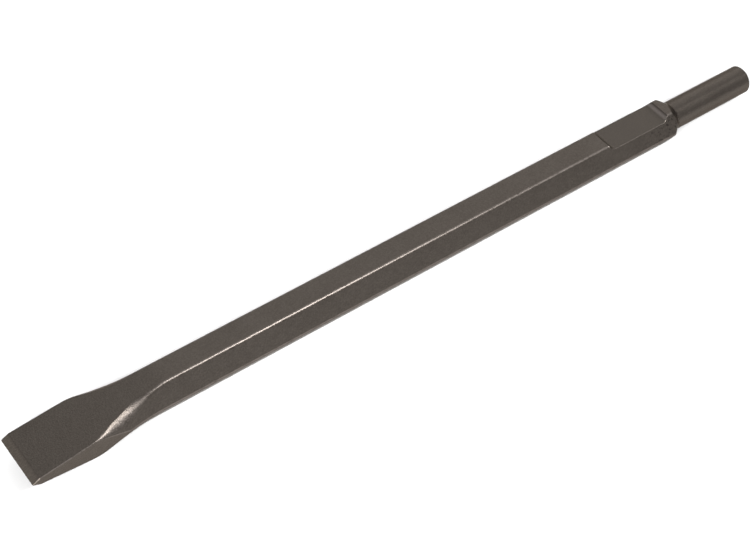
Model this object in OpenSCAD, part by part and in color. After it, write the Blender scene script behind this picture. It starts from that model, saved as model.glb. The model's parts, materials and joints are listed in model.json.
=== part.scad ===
// Flat chisel for a breaking hammer, forged in one piece from hexagonal bar.
// +X runs along the bar from the cutting edge to the struck end, and +Z is up. The chisel
// lies on one flat of its hexagon at z = 0, with the origin under its middle.

/* [Overall] */
// Length from the cutting edge to the struck end
total_len = 450; // [340:1:620]
// Hexagonal bar, across its flats
hex_af = 22; // [18:0.2:28]
// How far each corner of the hexagon is rounded in, measured along the radius
corner_round = 0.2; // [0.05:0.05:0.6]

/* [Blade] */
// Width of the cutting edge
edge_w = 30; // [24:0.5:50]
// Thickness of the flat land left on the cutting edge
edge_land = 0.6; // [0.2:0.1:1.5]
// Length of the ground bevel behind the cutting edge
bevel_len = 4; // [3:0.5:12]
// Thickness of the blade where the bevel ends
bevel_thick = 4.6; // [3:0.1:8]
// Width of the blade at its neck
neck_w = 28.5; // [22:0.5:48]
// Distance from the cutting edge to the neck
neck_at = 34; // [20:1:45]
// Distance from the cutting edge to where the broad faces reach the hexagon's flats
blade_len = 73; // [55:1:110]
// How far in front of that the slanted flats begin to flare out to the blade
flare_lead = 3; // [1:0.5:10]
// Radius along which the slanted flats flare out
flare_r = 150; // [90:5:300]
// Stretch of the bar behind the blade whose corners forging has left sharp
sharp_len = 10; // [4:1:30]

/* [Retaining notch] */
// Length of the notch along the top flat
notch_len = 42; // [25:0.5:60]
// Depth of the notch below the top flat
notch_depth = 2.7; // [1.5:0.1:4.5]
// Radius that the notch is cut to at both its ends
notch_r = 5; // [4.5:0.5:10]
// Length of the collar from the notch to the root of the spigot
collar_len = 9; // [8:0.5:20]
// Slope of the collar's chamfer, measured from the axis
collar_slope = 38; // [30:1:60]

/* [Spigot] */
// Diameter of the spigot
spigot_d = 16; // [12:0.1:20]
// Length of the spigot from its root to the struck end
spigot_len = 55; // [35:0.5:80]
// Radius of the fillet at the root of the spigot
root_r = 4; // [1:0.5:6]
// Chamfer round the struck end
end_chamfer = 1; // [0.5:0.1:3]

/* [Hidden] */
$fn = 96;

spigot_r = spigot_d / 2;
flat_h = hex_af / 2;                            // from the axis to each flat
corner_r = hex_af / sqrt(3) - corner_round;     // from the axis to each rounded corner
slant = 30;                                     // turn of the slanted flats from level
reach = 4 * max(edge_w, hex_af);                // wider than the chisel all round
flare_at = blade_len - flare_lead;
blank_r = norm([max(edge_w, neck_w), hex_af]) / 2 + 1;  // clears every corner of the blade

root_at = total_len - spigot_len;               // where the chamfer would meet the spigot
root_run = root_r * tan(collar_slope / 2);      // from there to each end of the fillet
chamfer_at = root_at - (corner_r - spigot_r) / tan(collar_slope);
notch_end = root_at - collar_len;
notch_floor = flat_h - notch_depth;
notch_run = sqrt(notch_r * notch_r - pow(notch_r - notch_depth, 2));  // of one curved end

// A closed outline from the points of its upper half, mirrored in the axis
module mirrored_outline(upper) {
    last = len(upper) - 1;
    polygon(concat(upper, [for (i = [last:-1:0]) [upper[i][0], -upper[i][1]]]));
}

// Side view: the cutting edge, the ground bevel, the wedge of the blade and the bar's flats
module side_outline() {
    mirrored_outline([
        [0, edge_land / 2],
        [bevel_len, bevel_thick / 2],
        [blade_len, flat_h],
        [total_len, flat_h]
    ]);
}

// Top view: the blade, a little narrower at its neck, then room for the bar's corners
module top_outline() {
    mirrored_outline([
        [0, edge_w / 2],
        [neck_at, neck_w / 2],
        [blade_len, max(neck_w / 2, corner_r)],
        [total_len, max(neck_w / 2, corner_r)]
    ]);
}

// View square to a pair of slanted flats, which flare out along an arc towards the blade
module slant_outline() {
    difference() {
        mirrored_outline([[0, reach / 2], [flare_at, reach / 2], [flare_at, flat_h], [total_len, flat_h]]);
        for (side = [-1, 1])
            translate([flare_at, side * (flat_h + flare_r)]) circle(r = flare_r);
    }
}

// A side, top or slanted outline pushed right through the chisel
module pushed_through(turn) {
    rotate([turn, 0, 0]) linear_extrude(height = reach, center = true) children();
}

// Everything turned about the axis: rounded corners, collar chamfer, root fillet and spigot.
// The outline gives radius and station. It cuts straight across the root, and the circle
// hollows that cut out to the fillet.
module turned_blank() {
    rotate([0, 90, 0]) rotate_extrude() difference() {
        polygon([
            [0, 0],
            [blank_r, 0],
            [blank_r, neck_at],
            [corner_r, blade_len + sharp_len],
            [corner_r, chamfer_at],
            [spigot_r + root_run * sin(collar_slope), root_at - root_run * cos(collar_slope)],
            [spigot_r, root_at + root_run],
            [spigot_r, total_len - end_chamfer],
            [spigot_r - end_chamfer, total_len],
            [0, total_len]
        ]);
        translate([spigot_r + root_r, root_at + root_run]) circle(r = root_r);
    }
}

// The notch's cutter: a flat floor between two ends of radius notch_r, across the top flat
module notch_cutter() {
    first = notch_end - notch_len + notch_run;
    last = notch_end - notch_run;
    pushed_through(90) translate([0, notch_floor]) {
        for (x = [first, last]) translate([x, notch_r]) circle(r = notch_r);
        translate([first, 0]) square([last - first, 2 * notch_r]);
    }
}

module chisel() {
    color("#4b4540") translate([-total_len / 2, 0, flat_h]) difference() {
        intersection() {
            turned_blank();
            pushed_through(90) side_outline();
            pushed_through(0) top_outline();
            pushed_through(slant) slant_outline();
            pushed_through(180 - slant) slant_outline();
        }
        notch_cutter();
    }
}

chisel();
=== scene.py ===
"""Flat chisel for a breaking hammer: its forged steel body, a pale floor, studio lights and a camera."""
import json
import math

import bpy
from bpy.props import FloatProperty, FloatVectorProperty, PointerProperty
from mathutils import Matrix, Vector


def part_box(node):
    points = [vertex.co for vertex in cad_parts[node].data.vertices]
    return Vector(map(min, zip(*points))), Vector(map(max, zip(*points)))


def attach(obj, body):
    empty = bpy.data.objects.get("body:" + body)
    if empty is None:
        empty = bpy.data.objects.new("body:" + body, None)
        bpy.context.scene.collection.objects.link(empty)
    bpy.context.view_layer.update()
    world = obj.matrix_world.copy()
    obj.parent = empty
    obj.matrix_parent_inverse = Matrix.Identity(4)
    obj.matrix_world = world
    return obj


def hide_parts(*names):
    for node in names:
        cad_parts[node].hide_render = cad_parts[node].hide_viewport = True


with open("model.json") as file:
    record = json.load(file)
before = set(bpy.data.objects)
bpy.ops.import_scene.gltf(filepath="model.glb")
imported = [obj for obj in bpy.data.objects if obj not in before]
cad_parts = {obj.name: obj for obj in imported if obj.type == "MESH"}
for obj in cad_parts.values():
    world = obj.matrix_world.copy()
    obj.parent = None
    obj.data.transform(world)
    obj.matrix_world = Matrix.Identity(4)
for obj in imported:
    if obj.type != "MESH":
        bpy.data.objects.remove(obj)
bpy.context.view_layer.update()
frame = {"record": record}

bl_info = {
    "name": "Flat Chisel",
    "version": (1, 0, 0),
    "blender": (4, 5, 0),
    "location": "View3D > Sidebar > Chisel",
    "description": "Makes a forged flat chisel with a retaining notch, collar and spigot, and a small studio",
    "category": "Add Mesh",
}

MM = 0.001
CHISEL_LOW, CHISEL_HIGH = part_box("chisel")
MOUNTS = {mount["name"]: mount for mount in frame["record"]["mounts"]}

# Stations are metres from the cutting edge, and heights are metres from the bar's axis
TIP_X = CHISEL_LOW[0]
AXIS_Z = MOUNTS["spigot"]["pos_m"][2]
SPIGOT_START = MOUNTS["spigot"]["pos_m"][0] - TIP_X - MOUNTS["spigot"]["dims"]["length_mm"] * MM / 2
NOTCH_MIDDLE = MOUNTS["notch_floor"]["pos_m"][0] - TIP_X

# Columns run round the section. Each quarter has five parts: a side flat, an arc, a slanted flat,
# an arc and a broad flat.
QUARTER = 5
SPLITS = (3, 6, 8, 12)          # steps across the first four parts
BROAD_STEPS = (0.02, 0.07, 0.16, 0.3, 0.5, 0.75, 1.0)   # shares of the broad flat, close at its edge
END_RINGS = (0.02, 0.08, 0.2, 0.5, 1.0)     # how far rings on the struck end are drawn in to the axis

# The hexagon's slanted flats face this far above and below its sides
SLANT = math.radians(30)

# Distances over which the corner between two surfaces is rounded
WEDGE_SOFT = 0.5 * MM           # blade's broad face and the bar's flat
BEVEL_SOFT = 0.06 * MM          # bevel and broad face
NOTCH_SOFT = 0.12 * MM          # notch and top flat
FLARE_SOFT = 2.4 * MM           # flare and slanted flat
COLLAR_SOFT = 0.16 * MM         # bar and collar
ROOT_SOFT = 0.6 * MM            # collar and spigot
END_SOFT = 0.15 * MM            # spigot and end chamfer

END_CHAMFER = 1.0 * MM
ROOT_SETBACK = 1.38 * MM        # from where the collar's slope would meet the spigot, to the spigot's start
RIM_RADIUS = 0.3 * MM           # on the rims of the notch
SIDE_SHARE = 0.8                # most of the half thickness that an edge's radius takes up
SKIN_WAVES = (70.0, 110.0, 110.0)   # unevenness of the skin, per metre along, across and up
SMALLEST_RADIUS = 0.01 * MM     # keeps a division from reaching zero
MERGE_WITHIN = 0.001 * MM

# Where a change along the chisel starts and ends, measured from the station named beside it
CHEEK_RISE = (-2 * MM, 9 * MM)          # neck
EDGE_GROWTH = (0.0, 16 * MM)            # neck
CHEEK_FALL = (-14 * MM, 8 * MM)         # flare's end
GRINDING_END = (-1.5 * MM, 0.8 * MM)    # bevel's end
SKIN_START = (0.0, 8 * MM)              # cutting edge
SKIN_END = (-62 * MM, -58 * MM)         # struck end
PITS_START = (-100 * MM, -66 * MM)      # struck end
PITS_END = (-55 * MM, -53 * MM)         # struck end
WEAR_END = -60 * MM                     # struck end

# Heights above the notch's floor between which a latch rubs the end ramp and where the ramp's lighter band is
# painted on as a highlight
LATCH_HIGHLIGHT_RISE = (0.35 * MM, 1.1 * MM)
LATCH_HIGHLIGHT_FALL = (1.4 * MM, 2.5 * MM)
# The worn colour on the edges is edge wear and also a painted highlight along them. The cheeks get less of
# it.
CHEEK_WEAR = 0.4                # share by which the soft cheeks are worn less than an edge

# Patterns on the steel: features per metre, detail and roughness of the noise
MOTTLE = (55.0, 4.0, 0.6)
PATCHES = (260.0, 3.0, 0.6)
GRAIN = (1300.0, 3.0, 0.7)
GRIT = (1300.0, 1.0, 0.5)
SCRATCHES = (1.0, 3.0, 0.6)
SCRATCH_WAVES = (260.0, 3400.0, 900.0)      # scratches per metre along, across and up

# Noise values between which a pattern goes from none to full
PIT_NOISE = (0.565, 0.62)
# The three RUB settings pick where the worn colour goes on the edges. It paints their highlight as well as
# their wear.
RUB_NOISE = (0.28, 0.58)
SCRATCH_NOISE = (0.4, 0.66)
RUB_PATCHES = 0.6               # how much patches and grain each decide where an edge is rubbed
RUB_GRAIN = 0.4

# How far each pattern moves the skin from dark to light
MOTTLE_TONE = 0.8
PATCH_TONE = 0.5
GRAIN_TONE = 2.6

# How much of each finish's colour covers the skin
MILLED_COVER = 0.7
# Cover of the worn colour on the end ramp: latch rub and a painted highlight band
LATCHED_HIGHLIGHT_COVER = 0.45
PIT_COVER = 0.95
# Cover of the worn colour on the edges: their wear, and a painted highlight along them
RUBBED_AND_HIGHLIGHT_COVER = 0.28
SCRATCH_COVER = 0.4
GROUND_COVER = 0.16

# Roughness of the skin, and what each pattern and finish adds to it
SKIN_ROUGH = 0.31
PATCH_ROUGH = 0.12
RUBBED_ROUGH = 0.03
GROUND_ROUGH = 0.2
PIT_ROUGH = 0.1

# Height of each pattern in the steel's bump, in millimetres
GRAIN_HEIGHT = 0.10
GRIT_HEIGHT = 0.03
PATCH_HEIGHT = 0.03
PIT_DEPTH = 0.03
SCRATCH_HEIGHT = 0.04
WORN_SMOOTHING = 0.75           # share of the grain that wear takes off

# The studio. Each light has its name, its setting, its place, its width and what it faces.
FLOOR_HALF = 6.0
MIDDLE = (0.0, 0.0, AXIS_Z)
BLADE = (TIP_X + 0.05, 0.0, AXIS_Z)
LIGHTS = (
    ("Key", "key_power", (0.20, -0.455, 0.646), 0.20, BLADE),
    ("Back", "back_power", (0.65, 0.8, 1.2), 1.8, MIDDLE),
    ("Left", "left_power", (-1.0, -0.6, 0.7), 0.6, MIDDLE),
    ("Right", "right_power", (0.9, -0.42, 1.0), 0.4, MIDDLE),
    ("Low right", "low_right_power", (1.1, 0.7, 0.4), 0.8, MIDDLE),
)


# ---------------------------------------------------------------- settings


def length(name, description, default):
    """A size in metres, for the sidebar."""
    return FloatProperty(name=name, description=description, default=default, min=0.0,
                         unit="LENGTH", precision=5)


def angle(name, description, degrees):
    """An angle, for the sidebar."""
    return FloatProperty(name=name, description=description, default=math.radians(degrees), subtype="ANGLE")


def colour(name, description, default):
    """A colour, for the sidebar."""
    return FloatVectorProperty(name=name, description=description, default=default, size=3, min=0.0, max=1.0,
                               subtype="COLOR")


def strength(name, description, default):
    """A light's strength, for the sidebar."""
    return FloatProperty(name=name, description=description, default=default, min=0.0)


class ChiselSizes(bpy.types.PropertyGroup):
    """Sizes of the forging."""
    total: length("Length", "Cutting edge to struck end", CHISEL_HIGH[0] - CHISEL_LOW[0])
    across_flats: length("Across flats", "Hexagonal bar, across its flats", CHISEL_HIGH[2] - CHISEL_LOW[2])
    edge_width: length("Edge width", "Width of the cutting edge", CHISEL_HIGH[1] - CHISEL_LOW[1])
    neck_width: length("Neck width", "Width of the blade at its neck", 28.5 * MM)
    neck_at: length("Neck station", "Cutting edge to the neck", 34 * MM)
    blade: length("Blade length", "Cutting edge to where the broad faces reach the bar's flats", 73 * MM)
    bevel: length("Bevel length", "Ground bevel behind the cutting edge", 4 * MM)
    bevel_thick: length("Bevel thickness", "Thickness of the blade where the bevel ends", 4.6 * MM)
    nose: length("Nose radius", "Radius left on the cutting edge", 0.3 * MM)
    corner: length("Tip corner radius", "Radius of the two corners of the cutting edge", 0.9 * MM)
    notch: length("Notch length", "Retaining notch, at the top flat", 42 * MM)
    notch_depth: length("Notch depth", "Top flat to the notch's floor",
                        CHISEL_HIGH[2] - MOUNTS["notch_floor"]["pos_m"][2])
    notch_radius: length("Notch end radius", "Radius that the notch's ends are cut to", 5 * MM)
    spigot_radius: length("Spigot radius", "Radius of the spigot", MOUNTS["spigot"]["dims"]["r_mm"] * MM)
    collar_slope: angle("Collar slope", "Collar's chamfer, measured from the axis", 38)
    bar_edge: length("Bar edge radius", "Radius on the long edges of the bar", 1.7 * MM)
    blade_edge: length("Blade edge radius", "Radius on the edges of the blade", 0.45 * MM)
    flare_end: length("Flare end", "Cutting edge to where the flare leaves the bar's slanted flats", 60 * MM)
    flare_slope: FloatProperty(name="Flare slope", description="How far the flare rises for its length",
                               default=0.165, min=0.0, max=1.0)
    cheek: length("Cheek radius", "Soft radius left where the bar flares out to the blade", 12 * MM)
    cheek_turn: angle("Cheek turn", "Slope at which the cheek meets the broad face", 60)
    neck_blend: length("Neck blend", "How softly the blade's edges turn into the flare", 1.4 * MM)
    unevenness: length("Unevenness", "How far the forged skin wanders in and out", 0.05 * MM)


class SteelLook(bpy.types.PropertyGroup):
    """Colours of the blackened steel."""
    skin: colour("Skin", "Blackened forged skin", (0.085, 0.0735, 0.0640))
    skin_dark: colour("Dark skin", "Darker patches of the skin", (0.064, 0.0545, 0.0470))
    pit: colour("Pits", "Small dark pits in the skin by the collar", (0.020, 0.017, 0.015))
    ground: colour("Ground steel", "Ground bevel behind the cutting edge", (0.150, 0.127, 0.106))
    milled: colour("Milled steel", "Cut faces of the notch", (0.064, 0.0555, 0.0482))
    # Painted highlight: this lighter colour on the edges and on the notch's end ramp stands in for their
    # highlights as well as their wear
    worn: colour("Worn edges", "Where the blackening is rubbed thin", (0.30, 0.264, 0.246))


class StudioSettings(bpy.types.PropertyGroup):
    """Where the camera stands, and how strong the lights are."""
    azimuth: angle("Azimuth", "Turn of the camera about the vertical", -38.44)
    elevation: angle("Elevation", "Height of the camera above level", 48.75)
    roll: angle("Roll", "Lean of the camera", 2.84)
    distance: length("Distance", "Camera to the point it looks at", 0.785)
    lens: FloatProperty(name="Lens", description="Focal length in millimetres", default=76.5, min=10.0)
    aim_along: FloatProperty(name="Aim along", description="Point looked at, as a station on the bar",
                             default=0.196, unit="LENGTH")
    aim_across: FloatProperty(name="Aim across", description="Point looked at, across the bar",
                              default=-1.3 * MM, unit="LENGTH", precision=5)
    key_power: strength("Key power", "Watts of the key light", 5.6)
    back_power: strength("Back power", "Watts of the large light behind", 8.2)
    left_power: strength("Left power", "Watts of the light on the left", 20.5)
    right_power: strength("Right power", "Watts of the light on the right", 0.8)
    low_right_power: strength("Low right power", "Watts of the low light behind on the right", 1.6)
    sky: strength("Sky", "Strength of the even white surroundings", 0.44)


# ---------------------------------------------------------------- node helpers


class Field:
    """A number that varies over a surface. Arithmetic on it adds Math nodes to its tree."""

    def __init__(self, tree, socket):
        self.tree = tree
        self.socket = socket

    def math(self, operation, *terms):
        """One Math node over the given terms, each a Field or a plain number."""
        node = self.tree.nodes.new("ShaderNodeMath")
        node.operation = operation
        for slot, term in zip(node.inputs, terms):
            self.give(slot, term)
        return Field(self.tree, node.outputs[0])

    def give(self, slot, term):
        """Puts a Field or a plain number into a node's input."""
        if isinstance(term, Field):
            self.tree.links.new(term.socket, slot)
        else:
            slot.default_value = term

    def __add__(self, other):
        return self.math("ADD", self, other)

    def __radd__(self, other):
        return self.math("ADD", other, self)

    def __sub__(self, other):
        return self.math("SUBTRACT", self, other)

    def __rsub__(self, other):
        return self.math("SUBTRACT", other, self)

    def __mul__(self, other):
        return self.math("MULTIPLY", self, other)

    def __truediv__(self, other):
        return self.math("DIVIDE", self, other)

    def __lt__(self, other):
        return self.math("LESS_THAN", self, other)

    def __gt__(self, other):
        return self.math("GREATER_THAN", self, other)

    def __abs__(self):
        return self.math("ABSOLUTE", self)

    def least(self, other, soft=0.0):
        """The smaller of two, with the corner between them rounded over the distance soft."""
        return self.math("SMOOTH_MIN", self, other, soft) if soft else self.math("MINIMUM", self, other)

    def most(self, other, soft=0.0):
        """The larger of two, with the corner between them rounded over the distance soft."""
        return self.math("SMOOTH_MAX", self, other, soft) if soft else self.math("MAXIMUM", self, other)

    def root(self):
        return self.math("SQRT", self)

    def sine(self):
        return self.math("SINE", self)

    def cosine(self):
        return self.math("COSINE", self)

    def tangent(self):
        return self.math("TANGENT", self)

    def there_and_back(self, span):
        """Rises from 0 to span, falls to 0 again, and so on."""
        return self.math("PINGPONG", self, span)

    def centred(self):
        """A noise, moved to lie evenly about 0."""
        return self - 0.5

    def hump(self):
        """0 where this is 0 or 1, and 1 halfway between."""
        return self * (1 - self) * 4

    def share(self, start, end, kind="LINEAR"):
        """0 before start, 1 after end, and even or smooth between them."""
        node = self.tree.nodes.new("ShaderNodeMapRange")
        node.interpolation_type = kind
        node.clamp = True
        for name, term in (("Value", self), ("From Min", start), ("From Max", end)):
            self.give(node.inputs[name], term)
        return Field(self.tree, node.outputs["Result"])

    def ease(self, start, end):
        """0 before start, 1 after end, and an S-curve between them."""
        return self.share(start, end, "SMOOTHSTEP")

    def ease_at(self, place, start, end):
        """An S-curve from 0 to 1, whose start and end are measured from a place."""
        return self.ease(place + start, place + end)


def mix(low, high, share):
    """The value a share of the way from low to high."""
    return low + (high - low) * share


# ---------------------------------------------------------------- the flat sheet


def spaced(spans):
    """Stations from 0 on. Each span is where it ends and about how far apart its stations are."""
    stations = [0.0]
    for end, step in spans:
        start = stations[-1]
        count = max(1, round((end - start) / step))
        stations += [start + (end - start) * i / count for i in range(1, count + 1)]
    return stations


def chisel_stations(sizes):
    """Stations along the chisel, close together where its shape changes quickly."""
    notch_start = NOTCH_MIDDLE - sizes.notch / 2
    notch_end = NOTCH_MIDDLE + sizes.notch / 2
    return spaced((
        (sizes.nose, 0.04 * MM),                            # rounded cutting edge
        (sizes.corner, 0.1 * MM),                           # rounded corners of the edge
        (sizes.bevel - 0.4 * MM, 0.5 * MM),                 # bevel
        (sizes.bevel + 0.4 * MM, 0.1 * MM),                 # corner where the bevel ends
        (sizes.neck_at - 4 * MM, 1.0 * MM),                 # blade
        (sizes.blade + 6 * MM, 0.6 * MM),                   # neck, cheeks and flare
        (notch_start - 2 * MM, 3.2 * MM),                   # bar
        (notch_start + sizes.notch_radius, 0.15 * MM),      # first end of the notch
        (notch_end - sizes.notch_radius, 1.5 * MM),         # floor of the notch
        (notch_end + 0.6 * MM, 0.12 * MM),                  # second end of the notch
        (SPIGOT_START + 1 * MM, 0.12 * MM),                 # collar and fillet
        (sizes.total - 1.6 * MM, 2 * MM),                   # spigot
        (sizes.total, 0.1 * MM),                            # end chamfer
    ))


def section_columns():
    """Columns once round the section, from the +Y side over the top and back underneath."""
    quarter = [part + i / steps for part, steps in enumerate(SPLITS) for i in range(steps)]
    quarter += [QUARTER - 1] + [QUARTER - 1 + share for share in BROAD_STEPS[:-1]]
    mirrored = [2 * QUARTER - column for column in reversed(quarter[1:])]
    half = quarter + [QUARTER] + mirrored
    return half + [column + 2 * QUARTER for column in half] + [4 * QUARTER]


def flat_sheet(name, stations, columns, insets):
    """A sheet of quads whose X is a station, Y a column, and Z how far an end row is drawn in."""
    rows = [(station, 0.0) for station in stations] + [(stations[-1], inset) for inset in insets]
    points = [(station, column, inset) for station, inset in rows for column in columns]
    across = len(columns)
    quads = [(row * across + i, row * across + i + 1, (row + 1) * across + i + 1, (row + 1) * across + i)
             for row in range(len(rows) - 1) for i in range(across - 1)]
    mesh = bpy.data.meshes.new(name)
    mesh.from_pydata(points, [], quads)
    mesh.polygons.foreach_set("use_smooth", [True] * len(quads))
    sheet = bpy.data.objects.new(name, mesh)
    bpy.context.scene.collection.objects.link(sheet)
    return sheet


# ---------------------------------------------------------------- the forging


def side_profile(station, size):
    """Half thickness of the blade and bar, the same with the notch cut, and the notch's own height."""
    flat = size["across_flats"] / 2
    bevel_half = size["bevel_thick"] / 2
    nose = size["nose"]
    wedge = bevel_half + (station - size["bevel"]) * (flat - bevel_half) / (size["blade"] - size["bevel"])
    in_nose = station.least(nose)
    nose_curve = (in_nose * (nose * 2 - in_nose)).root()
    bevel = nose_curve + (station - nose).most(0.0) * (bevel_half - nose) / (size["bevel"] - nose)
    half_thick = wedge.least(flat, WEDGE_SOFT).least(bevel, BEVEL_SOFT)

    radius = size["notch_radius"]
    depth_left = radius - size["notch_depth"]
    end_run = (radius * radius - depth_left * depth_left).root()
    past_floor = (abs(station - NOTCH_MIDDLE) - (size["notch"] / 2 - end_run)).most(0.0)
    rise = radius - (radius * radius - past_floor * past_floor).most(0.0).root()
    notch_height = flat - size["notch_depth"] + rise
    return half_thick, half_thick.least(notch_height, NOTCH_SOFT), notch_height


def half_width(station, size):
    """Half width of the blade, with its two corners rounded at the cutting edge."""
    taper = mix(size["edge_width"] / 2, size["neck_width"] / 2, station.share(0.0, size["neck_at"]))
    corner = size["corner"]
    from_corner = corner - station.least(corner)
    return taper - corner + (corner * corner - from_corner * from_corner).root()


def slanted_height(station, size):
    """Distance from the axis to the slanted flats, which flare out towards the blade."""
    flat = size["across_flats"] / 2
    return (flat + (size["flare_end"] - station) * size["flare_slope"]).most(flat, FLARE_SOFT)


def turned_radius(station, size):
    """Radius of everything turned: the collar's chamfer, the fillet, the spigot and its end chamfer."""
    spigot = size["spigot_radius"]
    root_at = SPIGOT_START - ROOT_SETBACK
    chamfer = spigot + (root_at - station) * size["collar_slope"].tangent()
    end_chamfer = spigot - END_CHAMFER + (size["total"] - station)
    return chamfer.most(spigot, ROOT_SOFT).least(end_chamfer, END_SOFT)


class Section:
    """The chisel's cross-section, as Fields over the flat sheet."""

    def __init__(self, station, column, size):
        self.station = station
        self.size = size

        # Above the axis, on the -Y side, and how far a column is along each part of its quarter
        around = column.there_and_back(QUARTER)
        self.above = column < 2 * QUARTER
        self.on_minus_y = (column > QUARTER) * (column < 3 * QUARTER)
        self.parts = [around.share(part, part + 1) for part in range(QUARTER)]

        self.half_thick, self.top_height, self.notch_height = side_profile(station, size)
        self.in_notch = self.above * (size["across_flats"] / 2 > self.notch_height)
        # Forging leaves the cheeks, where the bar flares, much rounder than the other edges
        self.cheek = station.ease_at(size["neck_at"], *CHEEK_RISE) * (
            1 - station.ease_at(size["flare_end"], *CHEEK_FALL))

    def outline(self):
        """How far each column lies across and up from the axis, within its quarter."""
        size = self.size
        side_flat, side_arc, slanted_flat, broad_arc, broad_flat = self.parts
        half_thick = self.half_thick
        broad = mix(half_thick, self.top_height, self.above)
        side = half_width(self.station, size)

        # The edge between the side and slanted flats, and where the edge after it stops turning
        growth = self.station.ease_at(size["neck_at"], *EDGE_GROWTH)
        edge = mix(size["blade_edge"], size["bar_edge"], growth)
        side_radius = edge.least(half_thick * SIDE_SHARE)
        last_turn = mix(math.radians(90), size["cheek_turn"], self.cheek)

        # Centres of the two edges' radii, kept where no flat turns inside out
        fits = ((side - side_radius) * math.cos(SLANT) + (half_thick - side_radius) * math.sin(SLANT)
                + side_radius)
        slanted = slanted_height(self.station, size).least(fits, size["neck_blend"])
        side_y = (side - side_radius).least((slanted - side_radius) / math.cos(SLANT))
        side_z = ((slanted - side_radius) - side_y * math.cos(SLANT)) / math.sin(SLANT)
        sharp_y = (slanted - broad * math.sin(SLANT)) / math.cos(SLANT)
        room = (side_y + side_radius * math.cos(SLANT) - sharp_y) / (
            (last_turn.sine() - math.sin(SLANT)) * math.tan(SLANT))
        broad_radius = mix(mix(edge, RIM_RADIUS, self.in_notch), size["cheek"], self.cheek).least(room)
        broad_z = broad - broad_radius * last_turn.sine()
        broad_y = ((slanted - broad_radius) - broad_z * math.sin(SLANT)) / math.cos(SLANT)

        turn = side_arc * SLANT + (last_turn - SLANT) * broad_arc
        radius = mix(side_radius, broad_radius, slanted_flat)
        flat_edge = broad_y + broad_radius * last_turn.cosine()
        across = (side_y + (broad_y - side_y) * slanted_flat - flat_edge * broad_flat
                  + radius * turn.cosine())
        up = side_z * side_flat + (broad_z - side_z) * slanted_flat + radius * turn.sine()
        return across, up

    def finishes(self, inset):
        """How much of each finish a place has, by the name that the steel's own nodes read."""
        station, size = self.station, self.size
        total = size["total"]
        _, side_arc, _, broad_arc, broad_flat = self.parts
        inside_rim = broad_flat.ease(0.0, BROAD_STEPS[0])
        climb = self.notch_height - (size["across_flats"] / 2 - size["notch_depth"])
        # Painted highlight band on the notch's end ramp, where the latch also rubs
        latch_rub_and_highlight = (self.in_notch * (station > NOTCH_MIDDLE) * climb.ease(*LATCH_HIGHLIGHT_RISE)
                     * (1 - climb.ease(*LATCH_HIGHLIGHT_FALL)))
        edge_line = side_arc.hump().most(broad_arc.hump())
        return {
            "ground": 1 - station.ease_at(size["bevel"], *GRINDING_END),
            # The rounded edges get the lighter worn colour, as wear and as a painted highlight
            "worn": edge_line * (1 - self.cheek * CHEEK_WEAR) * (1 - inset.most(station > total + WEAR_END)),
            "latched": latch_rub_and_highlight * inside_rim,
            "milled": self.in_notch * inside_rim,
            "pitted": (side_arc * (1 - broad_arc) * station.ease_at(total, *PITS_START)
                       * (1 - station.ease_at(total, *PITS_END))),
        }


def skin_noise(tree, along, across, up):
    """Slow noise that makes the forged skin wander in and out."""
    place = tree.nodes.new("ShaderNodeCombineXYZ")
    for slot, value, waves in zip(place.inputs, (along, across, up), SKIN_WAVES):
        tree.links.new((value * waves).socket, slot)
    node = tree.nodes.new("ShaderNodeTexNoise")
    node.inputs["Scale"].default_value = 1.0
    node.inputs["Detail"].default_value = 2.0
    tree.links.new(place.outputs[0], node.inputs["Vector"])
    return Field(tree, node.outputs[0])


def wrapped_place(tree, section, inset):
    """The socket of each point's place once the sheet is wrapped round into the chisel."""
    station, size = section.station, section.size
    across, up = section.outline()
    y = across * (1 - section.on_minus_y * 2)
    z = up * (section.above * 2 - 1)

    # Nothing stands out past the turned radius, and the forged skin wanders a little
    from_axis = (across * across + up * up).root()
    turned = from_axis.least(turned_radius(station, size), COLLAR_SOFT)
    forged = 1 - station.ease_at(size["total"], *SKIN_END)
    wander = (skin_noise(tree, station, y, z).centred() * size["unevenness"] * forged
              * station.ease(*SKIN_START))
    scale = (turned + wander) / from_axis.most(SMALLEST_RADIUS) * (1 - inset)

    where = tree.nodes.new("ShaderNodeCombineXYZ")
    for slot, value in zip(where.inputs, (station + TIP_X, y * scale, z * scale + AXIS_Z)):
        tree.links.new(value.socket, slot)
    return where.outputs[0]


def stored_finishes(tree, geometry, finishes):
    """The geometry's socket after each finish is stored on its points, under its name."""
    for name, value in finishes.items():
        store = tree.nodes.new("GeometryNodeStoreNamedAttribute")
        store.data_type = "FLOAT"
        store.domain = "POINT"
        store.inputs["Name"].default_value = name
        tree.links.new(geometry, store.inputs["Geometry"])
        tree.links.new(value.socket, store.inputs["Value"])
        geometry = store.outputs["Geometry"]
    return geometry


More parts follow.
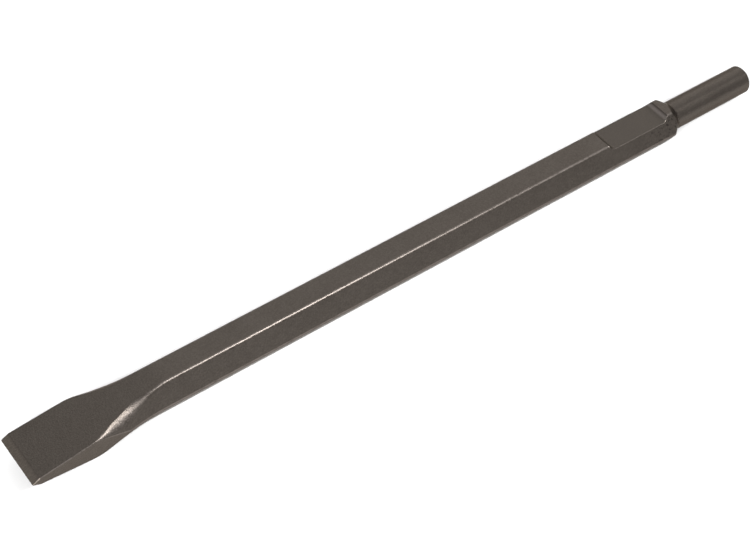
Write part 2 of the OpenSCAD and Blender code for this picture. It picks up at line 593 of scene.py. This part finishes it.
def forging_tree(steel):
    """Geometry nodes that wrap a flat sheet of stations and columns round into the chisel."""
    tree = bpy.data.node_groups.new("Forged chisel", "GeometryNodeTree")
    new = tree.nodes.new
    link = tree.links.new
    tree.interface.new_socket("Geometry", in_out="INPUT", socket_type="NodeSocketGeometry")
    sockets = {name: tree.interface.new_socket(name, in_out="INPUT", socket_type="NodeSocketFloat")
               for name in ChiselSizes.__annotations__}
    tree.interface.new_socket("Geometry", in_out="OUTPUT", socket_type="NodeSocketGeometry")
    given = new("NodeGroupInput")
    size = {name: Field(tree, given.outputs[name]) for name in sockets}

    split = new("ShaderNodeSeparateXYZ")
    link(new("GeometryNodeInputPosition").outputs[0], split.inputs[0])
    station, column, inset = (Field(tree, output) for output in split.outputs)
    section = Section(station, column, size)

    geometry = stored_finishes(tree, given.outputs["Geometry"], section.finishes(inset))
    move = new("GeometryNodeSetPosition")
    link(wrapped_place(tree, section, inset), move.inputs["Position"])
    merge = new("GeometryNodeMergeByDistance")
    merge.inputs["Distance"].default_value = MERGE_WITHIN
    realize = new("GeometryNodeRealizeInstances")
    finish = new("GeometryNodeSetMaterial")
    finish.inputs["Material"].default_value = steel
    for step in (move, merge, realize, finish):
        link(geometry, step.inputs["Geometry"])
        geometry = step.outputs["Geometry"]
    link(geometry, new("NodeGroupOutput").inputs["Geometry"])
    return tree, sockets


def make_plain(thing):
    """Puts a modified object's final shape in its own mesh and takes the modifiers off."""
    depsgraph = bpy.context.evaluated_depsgraph_get()
    plain = bpy.data.meshes.new_from_object(thing.evaluated_get(depsgraph), depsgraph=depsgraph)
    thing.modifiers.clear()
    thing.data = plain


# ---------------------------------------------------------------- the steel


def attribute(tree, name):
    """A finish that the forging's nodes stored, as a Field."""
    node = tree.nodes.new("ShaderNodeAttribute")
    node.attribute_name = name
    return Field(tree, node.outputs["Fac"])


def noise(tree, coordinates, scale, detail, roughness, stretch=(1.0, 1.0, 1.0)):
    """Noise on Object coordinates, with features about 1 / scale metres across."""
    mapping = tree.nodes.new("ShaderNodeMapping")
    mapping.inputs["Scale"].default_value = stretch
    tree.links.new(coordinates, mapping.inputs["Vector"])
    node = tree.nodes.new("ShaderNodeTexNoise")
    node.inputs["Scale"].default_value = scale
    node.inputs["Detail"].default_value = detail
    node.inputs["Roughness"].default_value = roughness
    tree.links.new(mapping.outputs[0], node.inputs["Vector"])
    return Field(tree, node.outputs["Fac"])


def blend_colours(tree, first, second, share):
    """A colour a share of the way from first to second. Each is a socket or a plain colour."""
    node = tree.nodes.new("ShaderNodeMix")
    node.data_type = "RGBA"
    tree.links.new(share.socket, node.inputs["Factor"])
    # A Mix node keeps its two colours at inputs 6 and 7, and the mixed colour at output 2
    for slot, value in ((node.inputs[6], first), (node.inputs[7], second)):
        if isinstance(value, bpy.types.NodeSocket):
            tree.links.new(value, slot)
        else:
            slot.default_value = (*value, 1.0)
    return node.outputs[2]


def blackened_steel(look):
    """Blackened, finely blasted tool steel, with a scratched ground bevel, and rubbed edges whose lighter
    colour is partly a painted highlight.
    """
    steel = bpy.data.materials.new("Blackened steel")
    steel.use_nodes = True
    tree = steel.node_tree
    shader = tree.nodes["Principled BSDF"]
    coordinates = tree.nodes.new("ShaderNodeTexCoord").outputs["Object"]
    ground, worn, milled, pitted, latched = (
        attribute(tree, name) for name in ("ground", "worn", "milled", "pitted", "latched"))
    mottle, patches, grain, grit = (
        noise(tree, coordinates, *pattern) for pattern in (MOTTLE, PATCHES, GRAIN, GRIT))
    scratches = noise(tree, coordinates, *SCRATCHES, SCRATCH_WAVES)

    pits = pitted * grit.ease(*PIT_NOISE)
    # Painted highlight: the worn colour on the edges, which also stands for their wear
    rubbed_and_highlight = worn * (patches * RUB_PATCHES + grain * RUB_GRAIN).ease(*RUB_NOISE)
    scratched = ground * scratches.ease(*SCRATCH_NOISE)

    tone = (mottle.centred() * MOTTLE_TONE + patches.centred() * PATCH_TONE
            + grain.centred() * GRAIN_TONE + 0.5)
    skin = blend_colours(tree, look.skin_dark, look.skin, tone.share(0.0, 1.0))
    # The worn colour paints highlights on the end ramp and the edges, as well as their wear
    for finish, cover in ((look.milled, milled * MILLED_COVER),
                          (look.worn, latched * LATCHED_HIGHLIGHT_COVER),
                          (look.pit, pits * PIT_COVER),
                          (look.worn, rubbed_and_highlight * RUBBED_AND_HIGHLIGHT_COVER),
                          (look.ground, scratched * SCRATCH_COVER + ground * GROUND_COVER)):
        skin = blend_colours(tree, skin, finish, cover)
    tree.links.new(skin, shader.inputs["Base Color"])

    shader.inputs["Metallic"].default_value = 0.8
    shader.inputs["Specular IOR Level"].default_value = 0.3
    shader.inputs["Specular Tint"].default_value = (0.42, 0.39, 0.36, 1.0)
    rough = (SKIN_ROUGH + patches.centred() * PATCH_ROUGH + rubbed_and_highlight * RUBBED_ROUGH
             + ground * GROUND_ROUGH + pits * PIT_ROUGH)
    tree.links.new(rough.socket, shader.inputs["Roughness"])

    height = (grain * (1 - worn * WORN_SMOOTHING) * GRAIN_HEIGHT + grit * GRIT_HEIGHT
              + patches * PATCH_HEIGHT - pits * PIT_DEPTH + ground * scratches.centred() * SCRATCH_HEIGHT)
    bump = tree.nodes.new("ShaderNodeBump")
    bump.inputs["Strength"].default_value = 1.0
    bump.inputs["Distance"].default_value = 1.0 * MM
    tree.links.new(height.socket, bump.inputs["Height"])
    tree.links.new(bump.outputs[0], shader.inputs["Normal"])
    return steel


class OBJECT_OT_forge_chisel(bpy.types.Operator):
    """Make the chisel's body in one piece, from the cutting edge to the struck end."""
    bl_idname = "object.forge_chisel"
    bl_label = "Forge Chisel"
    bl_options = {"REGISTER", "UNDO"}

    def execute(self, context):
        sizes = context.scene.chisel_sizes
        steel = blackened_steel(context.scene.chisel_steel)
        chisel = flat_sheet("Chisel_forging", chisel_stations(sizes), section_columns(), END_RINGS)
        tree, sockets = forging_tree(steel)
        wrap = chisel.modifiers.new("Forged chisel", "NODES")
        wrap.node_group = tree
        for name, socket in sockets.items():
            wrap[socket.identifier] = getattr(sizes, name)
        make_plain(chisel)
        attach(chisel, "root")
        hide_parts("chisel")
        return {"FINISHED"}


# ---------------------------------------------------------------- the studio


def pale_floor():
    """A plain pale floor under the chisel."""
    half = FLOOR_HALF
    corners = [(-half, -half, 0), (half, -half, 0), (half, half, 0), (-half, half, 0)]
    mesh = bpy.data.meshes.new("Floor")
    mesh.from_pydata(corners, [], [(0, 1, 2, 3)])
    floor = bpy.data.objects.new("Floor", mesh)
    bpy.context.scene.collection.objects.link(floor)
    paint = bpy.data.materials.new("Pale floor")
    paint.use_nodes = True
    shader = paint.node_tree.nodes["Principled BSDF"]
    shader.inputs["Base Color"].default_value = (0.86, 0.86, 0.86, 1.0)
    shader.inputs["Roughness"].default_value = 0.9
    shader.inputs["Specular IOR Level"].default_value = 0.1
    mesh.materials.append(paint)


def soft_light(name, power, place, width, target):
    """A square soft light at place, turned to face target."""
    lamp = bpy.data.lights.new(name, "AREA")
    lamp.size = width
    lamp.energy = power
    light = bpy.data.objects.new(name, lamp)
    away = Vector(place) - Vector(target)
    light.matrix_world = Matrix.Translation(place) @ away.to_track_quat("Z", "Y").to_matrix().to_4x4()
    bpy.context.scene.collection.objects.link(light)


def camera_matrix(studio):
    """The camera's place and turn, from its angles about the point that it looks at."""
    azimuth, elevation = studio.azimuth, studio.elevation
    back = Vector((math.sin(azimuth) * math.cos(elevation), -math.cos(azimuth) * math.cos(elevation),
                   math.sin(elevation)))
    target = Vector((TIP_X + studio.aim_along, studio.aim_across, AXIS_Z))
    turn = back.to_track_quat("Z", "Y").to_matrix().to_4x4() @ Matrix.Rotation(studio.roll, 4, "Z")
    return Matrix.Translation(target + back * studio.distance) @ turn


class SCENE_OT_chisel_studio(bpy.types.Operator):
    """Set up the floor, the lights, the white surroundings and the camera."""
    bl_idname = "scene.chisel_studio"
    bl_label = "Set Up Studio"
    bl_options = {"REGISTER", "UNDO"}

    def execute(self, context):
        scene = context.scene
        studio = scene.chisel_studio
        pale_floor()
        for name, setting, place, width, target in LIGHTS:
            soft_light(name, getattr(studio, setting), place, width, target)

        world = bpy.data.worlds.new("Studio surroundings")
        world.use_nodes = True
        surroundings = world.node_tree.nodes["Background"]
        surroundings.inputs["Color"].default_value = (1.0, 1.0, 1.0, 1.0)
        surroundings.inputs["Strength"].default_value = studio.sky
        scene.world = world
        scene.view_settings.view_transform = "Standard"

        lens = bpy.data.cameras.new("Camera")
        lens.lens = studio.lens
        camera = bpy.data.objects.new("Camera", lens)
        camera.matrix_world = camera_matrix(studio)
        scene.collection.objects.link(camera)
        scene.camera = camera
        return {"FINISHED"}


class VIEW3D_PT_chisel(bpy.types.Panel):
    """The chisel's sizes, colours and studio."""
    bl_label = "Flat Chisel"
    bl_space_type = "VIEW_3D"
    bl_region_type = "UI"
    bl_category = "Chisel"

    def draw(self, context):
        layout = self.layout
        for group, operator in ((context.scene.chisel_sizes, None),
                                (context.scene.chisel_steel, "object.forge_chisel"),
                                (context.scene.chisel_studio, "scene.chisel_studio")):
            for name in type(group).__annotations__:
                layout.prop(group, name)
            if operator:
                layout.operator(operator)


CLASSES = (ChiselSizes, SteelLook, StudioSettings, OBJECT_OT_forge_chisel, SCENE_OT_chisel_studio,
           VIEW3D_PT_chisel)


def register():
    for cls in CLASSES:
        bpy.utils.register_class(cls)
    bpy.types.Scene.chisel_sizes = PointerProperty(type=ChiselSizes)
    bpy.types.Scene.chisel_steel = PointerProperty(type=SteelLook)
    bpy.types.Scene.chisel_studio = PointerProperty(type=StudioSettings)


def unregister():
    del bpy.types.Scene.chisel_studio
    del bpy.types.Scene.chisel_steel
    del bpy.types.Scene.chisel_sizes
    for cls in reversed(CLASSES):
        bpy.utils.unregister_class(cls)


def main():
    register()
    bpy.ops.object.forge_chisel()
    bpy.ops.scene.chisel_studio()


if __name__ == "__main__":
    main()
